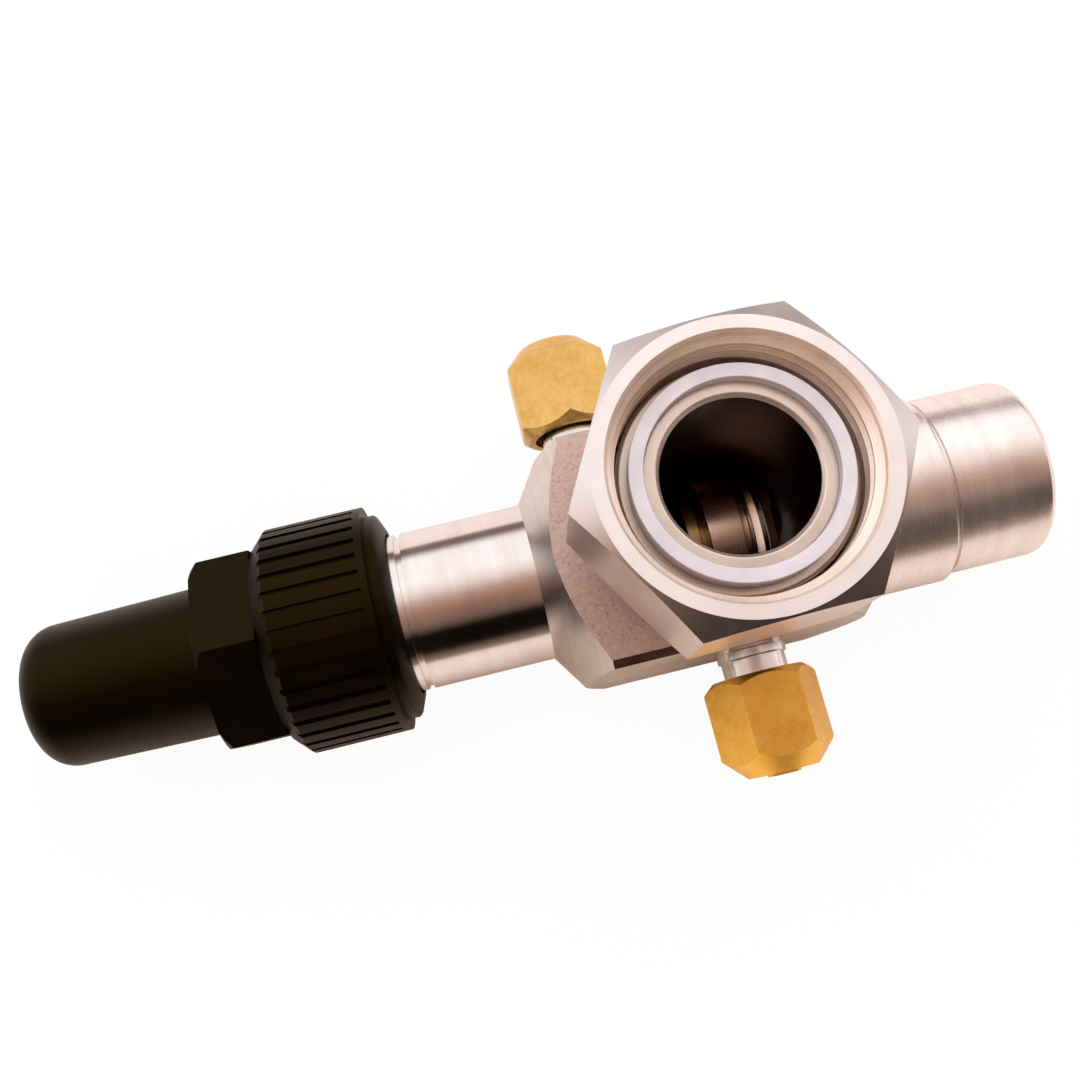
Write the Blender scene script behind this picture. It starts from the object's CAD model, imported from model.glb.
# %% [markdown]
# # A rotalock service valve
# This valve closes the pipe between a compressor and its refrigerant line. The hexagon union nut
# screws onto the compressor, the plain tube end is soldered to the line, and the black cap covers
# the spindle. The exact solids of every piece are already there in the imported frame. This lesson
# gives them their finish: soft edges, turned and forged metal, brass, moulded plastic, and the
# threads, which the solids show as plain cylinders.

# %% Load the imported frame
import math

import bmesh
import bpy
from mathutils import Matrix, Vector


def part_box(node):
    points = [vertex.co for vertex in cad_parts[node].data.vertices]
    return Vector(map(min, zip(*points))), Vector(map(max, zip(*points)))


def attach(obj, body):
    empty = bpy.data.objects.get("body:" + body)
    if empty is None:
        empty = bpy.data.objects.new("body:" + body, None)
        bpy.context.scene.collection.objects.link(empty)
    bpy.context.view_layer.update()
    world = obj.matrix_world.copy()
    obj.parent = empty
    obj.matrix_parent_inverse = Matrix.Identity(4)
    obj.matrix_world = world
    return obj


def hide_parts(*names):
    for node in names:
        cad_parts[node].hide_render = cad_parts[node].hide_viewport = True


MM = 0.001
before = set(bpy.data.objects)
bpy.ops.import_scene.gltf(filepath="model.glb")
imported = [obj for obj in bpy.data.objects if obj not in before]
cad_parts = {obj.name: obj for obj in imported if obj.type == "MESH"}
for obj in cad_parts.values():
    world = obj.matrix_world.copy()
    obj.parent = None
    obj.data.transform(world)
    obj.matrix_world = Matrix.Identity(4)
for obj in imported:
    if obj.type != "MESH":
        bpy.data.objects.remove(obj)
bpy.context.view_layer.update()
print("pieces in the frame:", len(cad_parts))

# %% [markdown]
# ## Where things are
# All pieces share one frame in metres. The origin is the centre of the nose of the spud, the
# spindle runs along X below it, and the two service ports point along +Y and -Y. The numbers that
# the looks need are read from the solids' boxes, so that they follow the model.

# %% Read the main places from the solids
body_low, body_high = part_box("valve_body")
nut_low, nut_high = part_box("rotalock_nut")
connector_low, connector_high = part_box("solder_connector")
cap_low, cap_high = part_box("seal_cap")
lower_cap_low, lower_cap_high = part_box("lower_flare_cap")
upper_cap_low, upper_cap_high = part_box("upper_flare_cap")
stem_z = (connector_low.z + connector_high.z) / 2
floor_z = min(cap_low.z, body_low.z)
lower_port_x = (lower_cap_low.x + lower_cap_high.x) / 2
upper_port_x = (upper_cap_low.x + upper_cap_high.x) / 2
BLOCK_HALF_DEPTH = 15.5 * MM
block_front_z = stem_z + BLOCK_HALF_DEPTH
block_side_y = body_high.y
print("stem axis height:", round(stem_z / MM, 2), "mm, floor:", round(floor_z / MM, 2), "mm")

# %% [markdown]
# ## Building a material by nodes
# Every finish here is procedural: it is computed from the position on the piece, in Object
# coordinates, so it needs no pictures and survives any view. These short helpers add a node, join
# two sockets, and start a metal or a plastic.

# %% Helpers for materials
def add_node(material, kind, inputs=None, **properties):
    """Add a shader node with its properties and the values of its unlinked inputs."""
    item = material.node_tree.nodes.new(kind)
    for key, value in properties.items():
        setattr(item, key, value)
    for key, value in (inputs or {}).items():
        item.inputs[key].default_value = value
    return item


def join(material, start, end):
    """Join an output socket to an input socket."""
    material.node_tree.links.new(start, end)


def start_material(name, metallic=1.0, **sockets):
    """A new material with its Principled shader. Even values go on the shader's own sockets."""
    material = bpy.data.materials.new(name)
    material.use_nodes = True
    shader = material.node_tree.nodes["Principled BSDF"]
    shader.inputs["Metallic"].default_value = metallic
    for key, value in sockets.items():
        shader.inputs[key.replace("_", " ").title()].default_value = value
    return material, shader


def position(material, centre=(0, 0, 0), scale=(1, 1, 1)):
    """Object coordinates, moved so that centre is the zero point and then scaled."""
    coordinates = add_node(material, "ShaderNodeTexCoord")
    mapping = add_node(material, "ShaderNodeMapping", {"Scale": scale})
    mapping.inputs["Location"].default_value = [-c * s for c, s in zip(centre, scale)]
    join(material, coordinates.outputs["Object"], mapping.inputs["Vector"])
    return mapping.outputs["Vector"]


def noise(material, vector, grains_per_mm, detail=3.0, roughness=0.55):
    """Soft random values from 0 to 1, with so many grains in a millimetre."""
    texture = add_node(
        material,
        "ShaderNodeTexNoise",
        {"Scale": grains_per_mm / MM, "Detail": detail, "Roughness": roughness},
    )
    join(material, vector, texture.inputs["Vector"])
    return texture.outputs["Fac"]


def remap(material, value, low, high, to_low, to_high):
    """Stretch a value from one range to another, held at the ends."""
    ranges = {"From Min": low, "From Max": high, "To Min": to_low, "To Max": to_high}
    item = add_node(material, "ShaderNodeMapRange", ranges)
    join(material, value, item.inputs["Value"])
    return item.outputs["Result"]


def calculate(material, operation, first, second):
    """One step of arithmetic. Either side may be a socket or a number."""
    item = add_node(material, "ShaderNodeMath", operation=operation)
    for socket, value in zip(item.inputs, (first, second)):
        if isinstance(value, (int, float)):
            socket.default_value = value
        else:
            join(material, value, socket)
    return item.outputs["Value"]


def blend_colours(material, factor, first, second):
    """Mix two colours by a factor."""
    item = add_node(material, "ShaderNodeMix", data_type="RGBA")
    item.inputs["A"].default_value = (*first, 1)
    item.inputs["B"].default_value = (*second, 1)
    join(material, factor, item.inputs["Factor"])
    return item.outputs["Result"]


def relief(material, height, depth_mm, strength=1.0, under=None):
    """A bump of a real depth, laid over another one if there is one."""
    item = add_node(material, "ShaderNodeBump", {"Distance": depth_mm * MM, "Strength": strength})
    join(material, height, item.inputs["Height"])
    if under is not None:
        join(material, under, item.inputs["Normal"])
    return item.outputs["Normal"]


print("material helpers are ready")

# %% [markdown]
# ## Turned steel
# The neck, the tube end and the nut's face were cut on a lathe and then plated. A lathe leaves fine
# rings round its axis. The distance along the axis plus the distance from it changes across these
# rings on a cylinder and on a flat end alike, so one noise of that single number draws both.

# %% Material for turned and plated steel
RINGS_PER_MM = 9.0
RING_DEPTH_MM = 0.004


def turned_steel(name, axis, centre, dark, light, smooth, rough, metallic=1.0):
    """Plated steel with lathe rings about an axis through centre."""
    material, shader = start_material(name, metallic)
    place = position(material, centre)
    parts = add_node(material, "ShaderNodeSeparateXYZ")
    join(material, place, parts.inputs["Vector"])
    along = parts.outputs[axis]
    across = [parts.outputs[other] for other in "XYZ" if other != axis]
    squares = [calculate(material, "POWER", side, 2.0) for side in across]
    radius = calculate(material, "SQRT", calculate(material, "ADD", *squares), 0.0)
    ring_place = calculate(material, "ADD", along, radius)
    rings = add_node(
        material,
        "ShaderNodeTexNoise",
        {"Scale": RINGS_PER_MM / MM, "Detail": 4.0, "Roughness": 0.7},
        noise_dimensions="1D",
    )
    join(material, ring_place, rings.inputs["W"])
    broad = add_node(
        material,
        "ShaderNodeTexNoise",
        {"Scale": 0.5 / MM, "Detail": 2.0},
        noise_dimensions="1D",
    )
    join(material, ring_place, broad.inputs["W"])
    stains = noise(material, place, 0.12, detail=5.0)
    tone = calculate(material, "ADD", calculate(material, "MULTIPLY", stains, 0.7),
                     calculate(material, "MULTIPLY", broad.outputs["Fac"], 0.3))
    tone = remap(material, tone, 0.3, 0.7, 0.0, 1.0)
    join(material, blend_colours(material, tone, dark, light), shader.inputs["Base Color"])
    mixed = calculate(material, "ADD", calculate(material, "MULTIPLY", rings.outputs["Fac"], 0.6),
                      calculate(material, "MULTIPLY", stains, 0.4))
    join(material, remap(material, mixed, 0.3, 0.7, smooth, rough), shader.inputs["Roughness"])
    join(material, relief(material, rings.outputs["Fac"], RING_DEPTH_MM), shader.inputs["Normal"])
    return material


stem_centre = (0, 0, stem_z)
neck_finish = turned_steel(
    "turned_neck", "X", stem_centre, (0.70, 0.615, 0.585), (0.86, 0.80, 0.78), 0.10, 0.20
)
tube_finish = turned_steel(
    "turned_tube", "X", stem_centre, (0.76, 0.66, 0.63), (0.94, 0.87, 0.85), 0.20, 0.32,
    metallic=0.88
)
cone_finish = turned_steel(
    "turned_cone", "X", stem_centre, (0.58, 0.51, 0.47), (0.76, 0.70, 0.66), 0.24, 0.38
)
nut_face_finish = turned_steel(
    "turned_nut_face", "Z", (0, 0, 0), (0.76, 0.71, 0.71), (0.89, 0.86, 0.87), 0.34, 0.48,
    metallic=0.7
)
nut_thread_finish = turned_steel(
    "cut_thread", "Z", (0, 0, 0), (0.78, 0.60, 0.49), (0.95, 0.82, 0.74), 0.22, 0.36, metallic=0.55
)
spud_finish = turned_steel(
    "turned_spud", "Z", (0, 0, 0), (0.60, 0.50, 0.43), (0.78, 0.68, 0.61), 0.22, 0.34, metallic=0.8
)
lower_nipple_finish = turned_steel(
    "turned_lower_nipple", "Y", (lower_port_x, 0, stem_z),
    (0.70, 0.66, 0.62), (0.9, 0.88, 0.86), 0.1, 0.2
)
upper_nipple_finish = turned_steel(
    "turned_upper_nipple", "Y", (upper_port_x, 0, stem_z),
    (0.70, 0.66, 0.62), (0.9, 0.88, 0.86), 0.1, 0.2
)
inner_finish = turned_steel(
    "turned_inner_steel", "X", stem_centre, (0.78, 0.58, 0.48), (0.96, 0.78, 0.67), 0.20, 0.34
)
bore_finish = turned_steel(
    "oiled_bore", "Z", (0, 0, 0), (0.05, 0.025, 0.015), (0.16, 0.09, 0.06), 0.24, 0.40
)
print("turned finishes:", 10)

# %% [markdown]
# ## Forged and milled steel
# The block was forged, then blasted, and only some of its faces were milled. The blasted skin is a
# fine random grain with a few deeper pits. The milled faces have faint straight marks, made by a
# noise that is stretched along the cutter's path.

# %% Materials for the block's skin and its milled faces
def forged_skin(name):
    """Blasted forging: dense fine grain with scattered pits."""
    material, shader = start_material(name)
    place = position(material)
    grain = noise(material, place, 2.6, detail=6.0, roughness=0.65)
    lumps = noise(material, place, 0.55, detail=3.0)
    pits = add_node(material, "ShaderNodeTexVoronoi", {"Scale": 1.1 / MM, "Randomness": 1.0})
    join(material, place, pits.inputs["Vector"])
    pit = remap(material, pits.outputs["Distance"], 0.0, 0.34, 0.0, 1.0)
    tone = calculate(material, "MULTIPLY", remap(material, grain, 0.3, 0.7, 0.25, 1.0), pit)
    colour = blend_colours(material, tone, (0.52, 0.36, 0.31), (0.86, 0.66, 0.59))
    join(material, colour, shader.inputs["Base Color"])
    join(material, remap(material, grain, 0.3, 0.7, 0.42, 0.58), shader.inputs["Roughness"])
    coarse = relief(material, lumps, 0.10, 0.5)
    fine = relief(material, grain, 0.05, 0.8, under=coarse)
    join(material, relief(material, pit, 0.03, 0.6, under=fine), shader.inputs["Normal"])
    return material


def milled_steel(name, stretch, dark, light, smooth, rough):
    """Milled and plated face with faint straight marks, stretched along one axis."""
    material, shader = start_material(name)
    marks = noise(material, position(material, scale=stretch), 4.0, detail=4.0, roughness=0.6)
    stains = noise(material, position(material), 0.16, detail=5.0)
    tone = remap(material, stains, 0.32, 0.68, 0.0, 1.0)
    join(material, blend_colours(material, tone, dark, light), shader.inputs["Base Color"])
    mixed = calculate(material, "ADD", calculate(material, "MULTIPLY", marks, 0.5),
                      calculate(material, "MULTIPLY", stains, 0.5))
    join(material, remap(material, mixed, 0.3, 0.7, smooth, rough), shader.inputs["Roughness"])
    join(material, relief(material, marks, 0.006), shader.inputs["Normal"])
    return material


skin_finish = forged_skin("forged_skin")
milled_finish = milled_steel(
    "milled_block", (0.08, 1, 1), (0.56, 0.49, 0.45), (0.74, 0.67, 0.63), 0.26, 0.40
)
edge_finish = milled_steel(
    "milled_edge", (0.08, 1, 1), (0.12, 0.07, 0.05), (0.26, 0.18, 0.14), 0.08, 0.16
)
nut_flat_finish = milled_steel(
    "drawn_nut_flat", (1, 1, 0.1), (0.77, 0.69, 0.67), (0.85, 0.765, 0.74), 0.26, 0.36
)
print("forged and milled finishes:", 4)

# %% [markdown]
# ## Brass, plastic and gasket
# The caps are machined from brass bar and have dulled: a mottled tone and a satin gloss. The seal cap
# is moulded nylon, nearly black, with a very fine spark texture. The gasket is white fluoropolymer,
# which lets a little light in, so it gets some subsurface scattering.

# %% Materials for brass, plastic, gasket and rubber
def satin_brass(name, centre, dark, light):
    """Machined brass that has dulled to a mottled tone between two colours."""
    material, shader = start_material(name)
    place = position(material, centre)
    mottle = noise(material, place, 0.9, detail=6.0, roughness=0.7)
    clouds = noise(material, place, 0.18, detail=3.0)
    tone = calculate(material, "ADD", calculate(material, "MULTIPLY", mottle, 0.6),
                     calculate(material, "MULTIPLY", clouds, 0.4))
    tone = remap(material, tone, 0.34, 0.66, 0.0, 1.0)
    join(material, blend_colours(material, tone, dark, light), shader.inputs["Base Color"])
    join(material, remap(material, mottle, 0.3, 0.7, 0.24, 0.38), shader.inputs["Roughness"])
    join(material, relief(material, mottle, 0.02, 0.5), shader.inputs["Normal"])
    return material


def moulded_plastic(name):
    """Black moulded nylon with a fine spark texture."""
    material, shader = start_material(name, metallic=0.0)
    shader.inputs["Specular IOR Level"].default_value = 0.18
    shader.inputs["Specular Tint"].default_value = (1.0, 0.62, 0.10, 1)
    place = position(material)
    spark = noise(material, place, 3.5, detail=4.0, roughness=0.6)
    flow = noise(material, place, 0.10, detail=3.0)
    tone = remap(material, flow, 0.35, 0.65, 0.0, 1.0)
    colour = blend_colours(material, tone, (0.0008, 0.0004, 0.0002), (0.0022, 0.0012, 0.0005))
    join(material, colour, shader.inputs["Base Color"])
    join(material, remap(material, spark, 0.3, 0.7, 0.36, 0.50), shader.inputs["Roughness"])
    join(material, relief(material, spark, 0.02, 0.5), shader.inputs["Normal"])
    return material


def white_gasket(name):
    """White fluoropolymer ring with faint lathe rings."""
    material, shader = start_material(name, metallic=0.0, roughness=0.42)
    shader.inputs["Subsurface Weight"].default_value = 0.15
    shader.inputs["Subsurface Radius"].default_value = (0.6 * MM, 0.6 * MM, 0.6 * MM)
    place = position(material)
    clouds = noise(material, place, 0.25, detail=4.0)
    tone = remap(material, clouds, 0.3, 0.7, 0.0, 1.0)
    colour = blend_colours(material, tone, (0.49, 0.48, 0.55), (0.58, 0.57, 0.64))
    join(material, colour, shader.inputs["Base Color"])
    join(material, relief(material, clouds, 0.03, 0.4), shader.inputs["Normal"])
    return material


def dull_material(name, dark, light, roughness, grains_per_mm, metallic=0.0):
    """A plain finish with a fine grain, for rubber, packing and springs."""
    material, shader = start_material(name, metallic=metallic)
    grain = noise(material, position(material), grains_per_mm, detail=4.0)
    tone = remap(material, grain, 0.3, 0.7, 0.0, 1.0)
    join(material, blend_colours(material, tone, dark, light), shader.inputs["Base Color"])
    spread = remap(material, grain, 0.3, 0.7, roughness - 0.06, roughness + 0.06)
    join(material, spread, shader.inputs["Roughness"])
    join(material, relief(material, grain, 0.02, 0.5), shader.inputs["Normal"])
    return material


lower_brass = satin_brass(
    "satin_brass_lower", (lower_port_x, 0, stem_z), (0.84, 0.42, 0.050), (1.0, 0.64, 0.13)
)
upper_brass = satin_brass(
    "satin_brass_upper", (upper_port_x, 0, stem_z), (0.62, 0.33, 0.075), (0.86, 0.58, 0.20)
)
disc_brass = satin_brass("satin_brass_ring", stem_centre, (0.40, 0.23, 0.10), (0.60, 0.40, 0.22))
plastic_finish = moulded_plastic("moulded_nylon")
gasket_finish = white_gasket("white_gasket")
rubber_finish = dull_material("black_rubber", (0.012, 0.012, 0.012), (0.025, 0.025, 0.025), 0.6, 1.5)
packing_finish = dull_material("pressed_packing", (0.02, 0.02, 0.022), (0.05, 0.05, 0.055), 0.5, 2.5)
spring_finish = dull_material("spring_wire", (0.5, 0.5, 0.52), (0.7, 0.7, 0.72), 0.25, 4.0, metallic=1.0)
print("materials:", len(bpy.data.materials))

# %% [markdown]
# ## Softening the edges of a solid
# A solid from CAD has perfectly sharp edges, and a real edge always catches a thin line of light.
# Each visible solid is copied, its triangles are merged back into clean faces, and a narrow bevel
# goes along every sharp edge. The copy stands for the solid, which stays hidden for the physics.
# Faces are given their material before the bevel, so the new strips take it from their neighbours.

# %% Helper that makes a dressed copy of a solid
SHARP_ANGLE = math.radians(28)


def merged_copy(node):
    """Clean editable mesh of a solid: doubles merged and flat areas joined."""
    work = bmesh.new()
    work.from_mesh(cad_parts[node].data)
    bmesh.ops.remove_doubles(work, verts=work.verts, dist=0.002 * MM)
    bmesh.ops.dissolve_limit(
        work, angle_limit=math.radians(0.4), verts=work.verts, edges=work.edges
    )
    return work


def shade(work):
    """Mark edges as sharp or smooth by their angle."""
    for face in work.faces:
        face.smooth = True
    for edge in work.edges:
        edge.smooth = edge.is_manifold and edge.calc_face_angle(0.0) < SHARP_ANGLE


def finished_mesh(work, name, materials, bevel_mm):
    """Turn a working mesh into a plain object with a bevel of that width."""
    mesh = bpy.data.meshes.new(name)
    for material in materials:
        mesh.materials.append(material)
    shade(work)
    work.to_mesh(mesh)
    work.free()
    if "custom_normal" in mesh.attributes:
        mesh.attributes.remove(mesh.attributes["custom_normal"])
    piece = bpy.data.objects.new(name, mesh)
    bpy.context.scene.collection.objects.link(piece)
    if bevel_mm > 0:
        bevel = piece.modifiers.new("soft_edges", "BEVEL")
        bevel.width = bevel_mm * MM
        bevel.segments = 2
        bevel.limit_method = "ANGLE"
        bevel.angle_limit = SHARP_ANGLE
        bevel.harden_normals = True
        settled = piece.evaluated_get(bpy.context.evaluated_depsgraph_get())
        piece.data = bpy.data.meshes.new_from_object(settled)
        piece.modifiers.clear()
        piece.data.name = name
    return piece


def dress(node, body, materials, bevel_mm, choose=None, reshape=None):
    """Copy a solid, give its faces their materials, soften it and let it stand for the node."""
    work = merged_copy(node)
    if reshape is not None:
        reshape(work)
    for face in work.faces:
        face.material_index = choose(face) if choose is not None else 0
    piece = finished_mesh(work, node + "_dressed", materials, bevel_mm)
    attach(piece, body)
    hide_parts(node)
    print(node, "faces:", len(piece.data.polygons))
    return piece


# %% [markdown]
# ## The body
# One forging shows six finishes and a bore. The material of a face follows from where it is: the
# front of the block keeps its forged skin, the two cones and the neck are turned, and the other
# sides of the block are milled. One milled facet, at the lower front, is darker than the rest. The
# bore and the chamber in it are dark with oil. The neck under the seal cap is made thinner here,
# because its thread comes later as real geometry that stands out from it.

# %% Dress the body
NECK, CONE, SKIN, MILLED, EDGE, TUBE, BORE = range(7)
neck_shoulder_x = -24.8 * MM
tube_shoulder_x = 22.2 * MM
neck_thread_x = -45.3 * MM
NECK_CORE = 10.4 / 11.35
PORT_REACH = 10.2 * MM
CHAMBER_REACH = 11.8 * MM


def body_finish(face):
    """Which finish a face of the body has, from its place and direction."""
    centre = face.calc_center_median()
    normal = face.normal
    from_port = math.hypot(centre.x, centre.y)
    from_stem = math.hypot(centre.y, centre.z - stem_z)
    if from_port < PORT_REACH and centre.x * normal.x + centre.y * normal.y < -0.9 * from_port:
        return BORE
    if neck_shoulder_x < centre.x < tube_shoulder_x and from_stem < CHAMBER_REACH:
        return BORE
    if centre.x < neck_shoulder_x + 0.01 * MM:
        return NECK
    if centre.x > tube_shoulder_x - 0.01 * MM:
        return TUBE
    if centre.z > block_front_z + 0.3 * MM:
        return MILLED
    if normal.z > 0.99:
        return SKIN
    if abs(normal.x) > 0.3:
        return CONE
    if normal.y < -0.3 and normal.z > 0.3:
        return EDGE
    return MILLED


def thin_the_neck(work):
    """Draw the threaded end of the neck in to the root of its thread."""
    for vertex in work.verts:
        radius = math.hypot(vertex.co.y, vertex.co.z - stem_z)
        if vertex.co.x < neck_thread_x + 0.01 * MM and radius > 10.0 * MM:
            vertex.co.y *= NECK_CORE
            vertex.co.z = stem_z + (vertex.co.z - stem_z) * NECK_CORE


body_materials = [neck_finish, cone_finish, skin_finish, milled_finish, edge_finish, tube_finish,
                  bore_finish]
dress("valve_body", "valve", body_materials, 0.15, body_finish, thin_the_neck)

# %% [markdown]
# ## The nut, the spud and the tube end
# The nut's turned front face is paler than its drawn flats, and the inside of its mouth is darker,
# because the cut thread holds oil. A face belongs to the mouth when it lies inside the front ring
# and its normal points inwards.

# %% Dress the nut, the spud, the gasket and the connector
NUT_FLAT, NUT_FACE, NUT_INSIDE = range(3)


def nut_finish(face):
    """Flats, turned end faces, or the threaded inside of the nut."""
    centre = face.calc_center_median()
    outwards = Vector((centre.x, centre.y, 0.0)).normalized()
    if abs(face.normal.z) > 0.95:
        return NUT_FACE
    if face.normal.dot(outwards) < -0.2:
        return NUT_INSIDE
    return NUT_FLAT


def spud_side(face):
    """The spud's bright outside, or the dark wall of its bore."""
    centre = face.calc_center_median()
    inwards = -Vector((centre.x, centre.y, 0.0)).normalized()
    return 1 if face.normal.dot(inwards) > 0.9 else 0


nut_materials = [nut_flat_finish, nut_face_finish, nut_thread_finish]
dress("rotalock_nut", "rotalock_nut", nut_materials, 0.25, nut_finish)
dress("rotalock_spud", "valve", [spud_finish, bore_finish], 0.15, spud_side)
dress("rotalock_gasket", "valve", [gasket_finish], 0.15)
dress("solder_connector", "valve", [tube_finish], 0.15)

# %% [markdown]
# ## Caps, nipples and the disc
# The smaller pieces take one finish each. The nipples are thinned to the root of their thread in the
# same way as the neck.

# %% Dress the smaller pieces
NIPPLE_THREAD_FROM = 6.0 * MM
NIPPLE_CORE = 4.9 / 5.5


def thin_nipple(port_x):
    """A reshaping step that draws in the threaded part of the nipple at port_x."""

    def reshape(work):
        for vertex in work.verts:
            radius = math.hypot(vertex.co.x - port_x, vertex.co.z - stem_z)
            if abs(vertex.co.y) > block_side_y + NIPPLE_THREAD_FROM - 0.01 * MM and radius > 5.4 * MM:
                vertex.co.x = port_x + (vertex.co.x - port_x) * NIPPLE_CORE
                vertex.co.z = stem_z + (vertex.co.z - stem_z) * NIPPLE_CORE

    return reshape


dress("seal_cap", "seal_cap", [plastic_finish], 0.3)
dress("lower_flare_cap", "lower_flare_cap", [lower_brass], 0.22)
dress("upper_flare_cap", "upper_flare_cap", [upper_brass], 0.22)
dress("lower_port_nipple", "valve", [lower_nipple_finish], 0.1,
      reshape=thin_nipple(lower_port_x))
dress("upper_port_nipple", "valve", [upper_nipple_finish], 0.1,
      reshape=thin_nipple(upper_port_x))
dress("valve_disc", "disc", [inner_finish], 0.15)
dress("back_seat_ring", "disc", [disc_brass], 0.15)
dress("front_seat_ring", "disc", [inner_finish], 0.12)
dress("spindle", "spindle", [inner_finish], 0.15)

# %% [markdown]
# ## Pieces that keep their solid
# What lies sealed inside is small and hardly seen, so its solid stays as it is and only takes a
# material.

# %% Give the inner solids their materials
plain_pieces = {
    "packing_washer": inner_finish,
    "packing_ring_1": packing_finish,
    "packing_ring_2": packing_finish,
    "packing_ring_3": packing_finish,
    "gland_ring": inner_finish,
    "gland_nut": inner_finish,
    "disc_retainer": spring_finish,
    "seal_cap_gasket": rubber_finish,
    "lower_cap_seal": gasket_finish,
    "upper_cap_seal": gasket_finish,
    "core_body": lower_brass,
    "core_seal": gasket_finish,
    "core_pin": lower_brass,
    "core_spring": spring_finish,
}
for node, material in plain_pieces.items():
    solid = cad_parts[node]
    solid.data.materials.clear()
    solid.data.materials.append(material)
print("inner pieces:", len(plain_pieces))

# %% [markdown]
# ## Threads by Geometry Nodes
# A thread is a small profile swept along a helix. One node tree makes them all: a spiral of some
# turns, a trapezoid for the profile, and Curve to Mesh. Its inputs are the root radius, the pitch,
# the number of turns and the height of the ridge, which is negative for an inside thread. The
# spiral is reversed, so that it turns anticlockwise as it rises: that makes a right-hand thread,
# and the profile then points outwards. The ridge fades at both ends, as a real thread runs out.

# %% The thread tree
TREE_INPUTS = {
    "Root radius": "NodeSocketFloat",
    "Pitch": "NodeSocketFloat",
    "Turns": "NodeSocketFloat",
    "Ridge height": "NodeSocketFloat",
    "Material": "NodeSocketMaterial",
}
STEPS_PER_TURN = 96
ROOT_HALF_SHARE = 0.46
CREST_HALF_SHARE = 0.10
SUNK_SHARE = 0.12


def tree_node(tree, kind, **properties):
    """Add a node to a geometry tree."""
    item = tree.nodes.new(kind)
    for key, value in properties.items():
        setattr(item, key, value)
    return item


def tree_math(tree, operation, first, second):
    """One step of arithmetic in a geometry tree."""
    item = tree_node(tree, "ShaderNodeMath", operation=operation)
    for socket, value in zip(item.inputs, (first, second)):
        if isinstance(value, (int, float)):
            socket.default_value = value
        else:
            tree.links.new(value, socket)
    return item.outputs["Value"]


def thread_tree():
    """Helical ridge with a trapezoid profile."""
    tree = bpy.data.node_groups.new("thread_ridge", "GeometryNodeTree")
    for label, kind in TREE_INPUTS.items():
        tree.interface.new_socket(name=label, in_out="INPUT", socket_type=kind)
    tree.interface.new_socket(name="Geometry", in_out="OUTPUT", socket_type="NodeSocketGeometry")
    given = tree_node(tree, "NodeGroupInput").outputs
    result = tree_node(tree, "NodeGroupOutput")
    spiral = tree_node(tree, "GeometryNodeCurveSpiral")
    spiral.inputs["Resolution"].default_value = STEPS_PER_TURN
    spiral.inputs["Reverse"].default_value = True
    tree.links.new(given["Turns"], spiral.inputs["Rotations"])
    tree.links.new(given["Root radius"], spiral.inputs["Start Radius"])
    tree.links.new(given["Root radius"], spiral.inputs["End Radius"])
    rise = tree_math(tree, "MULTIPLY", given["Pitch"], given["Turns"])
    tree.links.new(rise, spiral.inputs["Height"])
    upright = tree_node(tree, "GeometryNodeSetCurveNormal", mode="Z_UP")
    tree.links.new(spiral.outputs["Curve"], upright.inputs["Curve"])
    half_root = tree_math(tree, "MULTIPLY", given["Pitch"], ROOT_HALF_SHARE)
    half_crest = tree_math(tree, "MULTIPLY", given["Pitch"], CREST_HALF_SHARE)
    sunk = tree_math(tree, "MULTIPLY", given["Ridge height"], -SUNK_SHARE)
    profile = tree_node(tree, "GeometryNodeCurvePrimitiveQuadrilateral", mode="POINTS")
    corners = [(sunk, half_root, -1), (sunk, half_root, 1),
               (given["Ridge height"], half_crest, 1), (given["Ridge height"], half_crest, -1)]
    for number, (out, half, side) in enumerate(corners, start=1):
        corner = tree_node(tree, "ShaderNodeCombineXYZ")
        tree.links.new(out, corner.inputs["X"])
        tree.links.new(tree_math(tree, "MULTIPLY", half, side), corner.inputs["Y"])
        tree.links.new(corner.outputs["Vector"], profile.inputs[f"Point {number}"])
    along = tree_node(tree, "GeometryNodeSplineParameter").outputs["Factor"]
    to_end = tree_math(tree, "SUBTRACT", 1.0, along)
    nearest = tree_math(tree, "MINIMUM", along, to_end)
    fade = tree_math(tree, "MULTIPLY", tree_math(tree, "MULTIPLY", nearest, given["Turns"]), 3.0)
    fade = tree_math(tree, "MAXIMUM", tree_math(tree, "MINIMUM", fade, 1.0), 0.05)
    sweep = tree_node(tree, "GeometryNodeCurveToMesh")
    sweep.inputs["Fill Caps"].default_value = True
    tree.links.new(upright.outputs["Curve"], sweep.inputs["Curve"])
    tree.links.new(profile.outputs["Curve"], sweep.inputs["Profile Curve"])
    tree.links.new(fade, sweep.inputs["Scale"])
    realize = tree_node(tree, "GeometryNodeRealizeInstances")
    dressed = tree_node(tree, "GeometryNodeSetMaterial")
    tree.links.new(sweep.outputs["Mesh"], realize.inputs["Geometry"])
    tree.links.new(realize.outputs["Geometry"], dressed.inputs["Geometry"])
    tree.links.new(given["Material"], dressed.inputs["Material"])
    tree.links.new(dressed.outputs["Geometry"], result.inputs["Geometry"])
    return tree


ridge_tree = thread_tree()
print("thread tree nodes:", len(ridge_tree.nodes))

# %% [markdown]
# ## Cutting the four threads
# The tree runs on an empty mesh, its result is turned into a plain mesh, and the modifier goes. The
# spiral rises along Z, so the mesh is then turned to the axis it belongs to and moved to its place.

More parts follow.
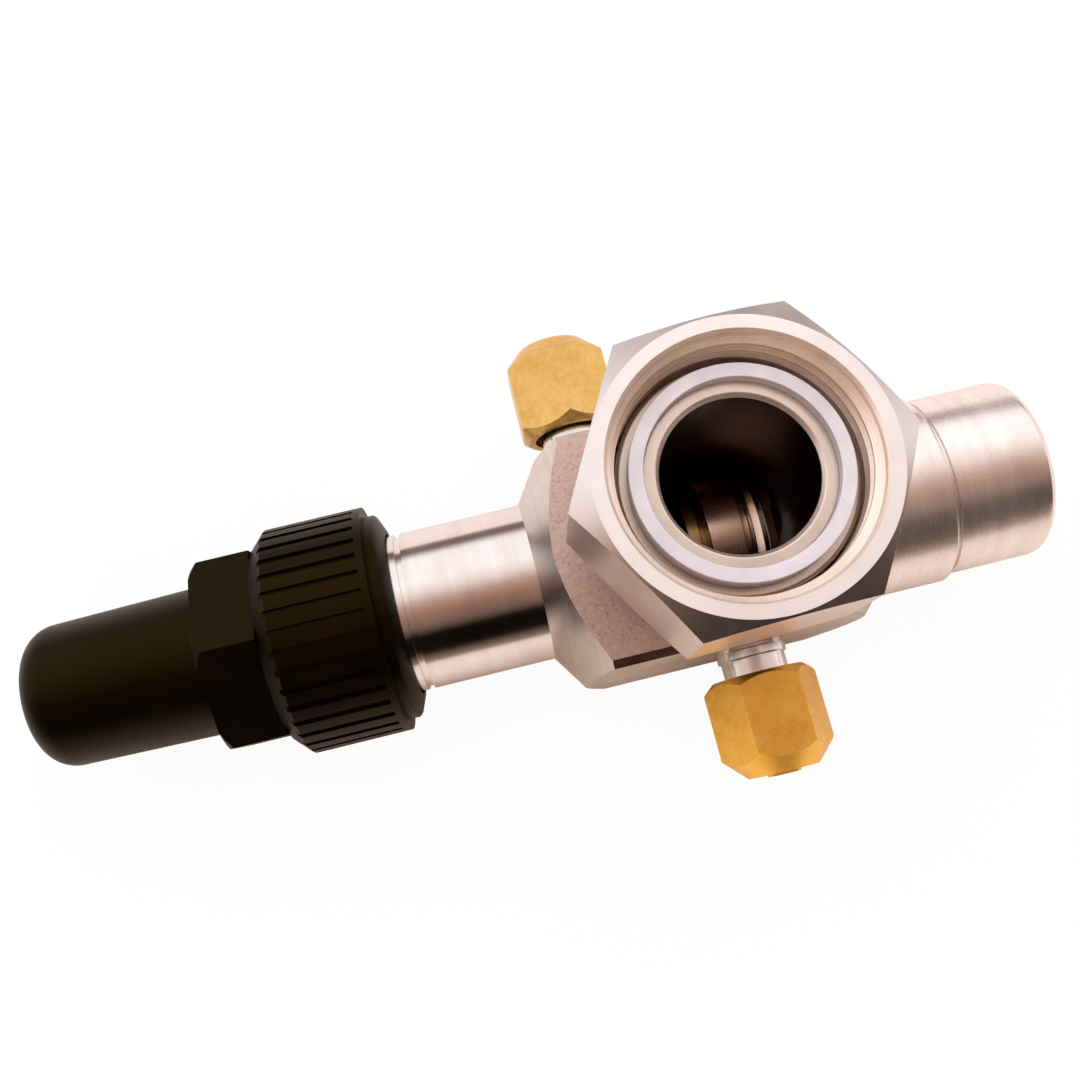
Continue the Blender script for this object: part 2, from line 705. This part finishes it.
# %% Make the threads
def thread(name, body, material, start, direction, root_mm, pitch_mm, turns, height_mm):
    """One thread as a plain mesh, from start along direction."""
    piece = bpy.data.objects.new(name, bpy.data.meshes.new(name))
    bpy.context.scene.collection.objects.link(piece)
    modifier = piece.modifiers.new("thread", "NODES")
    modifier.node_group = ridge_tree
    values = {
        "Root radius": root_mm * MM,
        "Pitch": pitch_mm * MM,
        "Turns": float(turns),
        "Ridge height": height_mm * MM,
        "Material": material,
    }
    for item in ridge_tree.interface.items_tree:
        if item.in_out == "INPUT":
            modifier[item.identifier] = values[item.name]
    settled = piece.evaluated_get(bpy.context.evaluated_depsgraph_get())
    piece.data = bpy.data.meshes.new_from_object(settled)
    piece.modifiers.clear()
    piece.data.name = name
    turn = Vector((0, 0, 1)).rotation_difference(Vector(direction)).to_matrix().to_4x4()
    piece.data.transform(Matrix.Translation(Vector(start)) @ turn)
    work = bmesh.new()
    work.from_mesh(piece.data)
    bmesh.ops.recalc_face_normals(work, faces=work.faces)
    shade(work)
    work.to_mesh(piece.data)
    work.free()
    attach(piece, body)
    print(name, "turns:", turns, "faces:", len(piece.data.polygons))
    return piece


UNION_PITCH = 25.4 / 12
CAP_PITCH = 2.0
FLARE_PITCH = 25.4 / 20
UNION_TURNS = 5.6
UNION_LEAD_IN = 0.9
union_start = (0, 0, nut_high.z - UNION_LEAD_IN * MM - UNION_TURNS * UNION_PITCH * MM)
thread("union_thread", "rotalock_nut", nut_thread_finish,
       union_start, (0, 0, 1), 15.7, UNION_PITCH, UNION_TURNS, -0.95)
thread("neck_thread", "valve", neck_finish,
       (neck_thread_x - 1.2 * MM, 0, stem_z), (-1, 0, 0), 10.4, CAP_PITCH, 6.3, 0.93)
thread("lower_port_thread", "valve", lower_nipple_finish,
       (lower_port_x, -block_side_y - 6.6 * MM, stem_z), (0, -1, 0), 4.9, FLARE_PITCH, 4.0, 0.58)
thread("upper_port_thread", "valve", upper_nipple_finish,
       (upper_port_x, block_side_y + 6.6 * MM, stem_z), (0, 1, 0), 4.9, FLARE_PITCH, 4.0, 0.58)

# %% [markdown]
# ## Floor and backdrop
# The valve lies on a white table. The table answers camera rays with plain white mixed into its own
# shaded colour, so that it looks white and still takes a soft shadow. Away from the valve the white
# takes over fully, so that no line shows where the table ends against the white room.

# %% Make the floor
FLOOR_SIZE = 1.6
FLOOR_GLOW = 0.95
SHADOW_FADE_START = 0.25
SHADOW_FADE_END = 0.60


def white_floor():
    """White paper that stays white to the camera and keeps the shadow."""
    material, shader = start_material("white_table", metallic=0.0, roughness=0.6)
    shader.inputs["Base Color"].default_value = (0.82, 0.80, 0.79, 1)
    nodes = material.node_tree.nodes
    rays = add_node(material, "ShaderNodeLightPath")
    seen = calculate(material, "MAXIMUM", rays.outputs["Is Camera Ray"],
                     rays.outputs["Is Transmission Ray"])
    distance = add_node(material, "ShaderNodeVectorMath", operation="LENGTH")
    join(material, position(material), distance.inputs[0])
    white = remap(
        material, distance.outputs["Value"], SHADOW_FADE_START, SHADOW_FADE_END, FLOOR_GLOW, 1.0
    )
    share = calculate(material, "MULTIPLY", seen, white)
    glow = add_node(material, "ShaderNodeEmission", {"Color": (1, 1, 1, 1), "Strength": 1.0})
    mix = add_node(material, "ShaderNodeMixShader")
    join(material, share, mix.inputs["Fac"])
    join(material, shader.outputs["BSDF"], mix.inputs[1])
    join(material, glow.outputs["Emission"], mix.inputs[2])
    join(material, mix.outputs["Shader"], nodes["Material Output"].inputs["Surface"])
    return material


floor_mesh = bpy.data.meshes.new("table")
half = FLOOR_SIZE / 2
floor_mesh.from_pydata(
    [(-half, -half, floor_z), (half, -half, floor_z), (half, half, floor_z), (-half, half, floor_z)],
    [],
    [(0, 1, 2, 3)],
)
floor_mesh.materials.append(white_floor())
table = bpy.data.objects.new("table", floor_mesh)
bpy.context.scene.collection.objects.link(table)

# %% [markdown]
# ## Light
# The bands along the neck tell where the light was, because a polished cylinder mirrors the room in
# one sweep: a bright window beyond the upper port, a warm dim ceiling, and a nearly black side
# towards the lower port. The world repeats that sweep as a ramp over the angle about the spindle.
# One large lamp beside the window lights the matt surfaces and stays out of the reflections. A weak
# warm one from the other side reaches the far wall of the nut's thread.

# %% Set the world and the lamps
ROOM_BANDS = [
    (-100, (0.42, 0.33, 0.28)),
    (-88, (0.26, 0.18, 0.13)),
    (-75, (0.004, 0.003, 0.002)),
    (-47, (0.004, 0.003, 0.002)),
    (-34, (0.22, 0.15, 0.12)),
    (-16, (0.40, 0.22, 0.16)),
    (-2, (0.60, 0.41, 0.33)),
    (14, (1.05, 0.97, 0.93)),
    (28, (1.25, 1.23, 1.23)),
    (68, (1.25, 1.23, 1.23)),
    (79, (0.22, 0.15, 0.14)),
    (94, (0.22, 0.15, 0.14)),
    (106, (0.80, 0.72, 0.68)),
]


def studio_world():
    """A room as bands of light about the spindle's axis, and plain white for the camera."""
    world = bpy.data.worlds.new("studio")
    world.use_nodes = True
    nodes, links = world.node_tree.nodes, world.node_tree.links
    background = nodes["Background"]
    background.inputs["Strength"].default_value = 1.0
    parts = nodes.new("ShaderNodeSeparateXYZ")
    links.new(nodes.new("ShaderNodeTexCoord").outputs["Generated"], parts.inputs["Vector"])
    angle = nodes.new("ShaderNodeMath")
    angle.operation = "ARCTAN2"
    links.new(parts.outputs["Y"], angle.inputs[0])
    links.new(parts.outputs["Z"], angle.inputs[1])
    share = nodes.new("ShaderNodeMapRange")
    share.inputs["From Min"].default_value = -math.pi
    share.inputs["From Max"].default_value = math.pi
    links.new(angle.outputs["Value"], share.inputs["Value"])
    ramp = nodes.new("ShaderNodeValToRGB")
    stops = ramp.color_ramp.elements
    for stop, (degrees, colour) in zip(stops, (ROOM_BANDS[0], ROOM_BANDS[-1])):
        stop.position, stop.color = degrees / 360 + 0.5, (*colour, 1)
    for degrees, colour in ROOM_BANDS[1:-1]:
        stops.new(degrees / 360 + 0.5).color = (*colour, 1)
    links.new(share.outputs["Result"], ramp.inputs["Fac"])
    rays = nodes.new("ShaderNodeLightPath")
    choose = nodes.new("ShaderNodeMix")
    choose.data_type = "RGBA"
    choose.inputs["B"].default_value = (1, 1, 1, 1)
    links.new(rays.outputs["Is Camera Ray"], choose.inputs["Factor"])
    links.new(ramp.outputs["Color"], choose.inputs["A"])
    links.new(choose.outputs["Result"], background.inputs["Color"])
    return world


def area_lamp(name, place_mm, aim_mm, size_mm, power, colour=(1, 1, 1)):
    """A soft rectangular lamp that points at a place and is not seen in reflections."""
    lamp = bpy.data.lights.new(name, "AREA")
    lamp.shape = "RECTANGLE"
    lamp.size, lamp.size_y = [side * MM for side in size_mm]
    lamp.energy = power
    lamp.color = colour
    holder = bpy.data.objects.new(name, lamp)
    bpy.context.scene.collection.objects.link(holder)
    holder.visible_glossy = False
    holder.location = Vector(place_mm) * MM
    aim = Vector(aim_mm) * MM - holder.location
    holder.rotation_euler = aim.to_track_quat("-Z", "Y").to_euler()
    return holder


bpy.context.scene.world = studio_world()
area_lamp("window", (-40, 300, 420), (-25, 0, -36), (700, 420), 2.2, (1.0, 0.96, 0.94))
area_lamp("warm_fill", (-30, -340, 360), (-5, 0, -10), (400, 260), 1.3, (1.0, 0.76, 0.58))
print("lamps:", len(bpy.data.lights))

# %% [markdown]
# ## Camera
# The photograph looks almost straight down at the valve, turned a little towards the lower port and
# the cap, and the frame is rolled so that the tube end rises to the right. Its place and lens were
# fitted to the outline of the part: it was taken from close by, about 13 cm in front of the nut.

# %% Set the camera
CAMERA_PLACE = Vector((-29.87, -29.62, 127.49)) * MM
CAMERA_TILT = math.radians(12.19)
CAMERA_ROLL = math.radians(13.49)
CAMERA_YAW = math.radians(-2.41)
FOCAL_PIXELS = 1143.4
FRAME_PIXELS = 1080.0

camera_data = bpy.data.cameras.new("photo_camera")
camera_data.sensor_width = 36.0
camera_data.lens = FOCAL_PIXELS / FRAME_PIXELS * camera_data.sensor_width
camera_data.clip_start = 0.01
camera = bpy.data.objects.new("photo_camera", camera_data)
bpy.context.scene.collection.objects.link(camera)
above = Vector((0.0, -math.sin(CAMERA_TILT), math.cos(CAMERA_TILT)))
across = Vector((0.0, math.cos(CAMERA_TILT), math.sin(CAMERA_TILT)))
along = Vector((1.0, 0.0, 0.0))
back = above * math.cos(CAMERA_YAW) + along * math.sin(CAMERA_YAW)
side = along * math.cos(CAMERA_YAW) - above * math.sin(CAMERA_YAW)
right = side * math.cos(CAMERA_ROLL) - across * math.sin(CAMERA_ROLL)
up = side * math.sin(CAMERA_ROLL) + across * math.cos(CAMERA_ROLL)
turn = Matrix((right, up, back)).transposed().to_4x4()
camera.matrix_world = Matrix.Translation(CAMERA_PLACE) @ turn
bpy.context.scene.camera = camera
bpy.context.scene.view_settings.view_transform = "Standard"
print("lens:", round(camera_data.lens, 1), "mm")
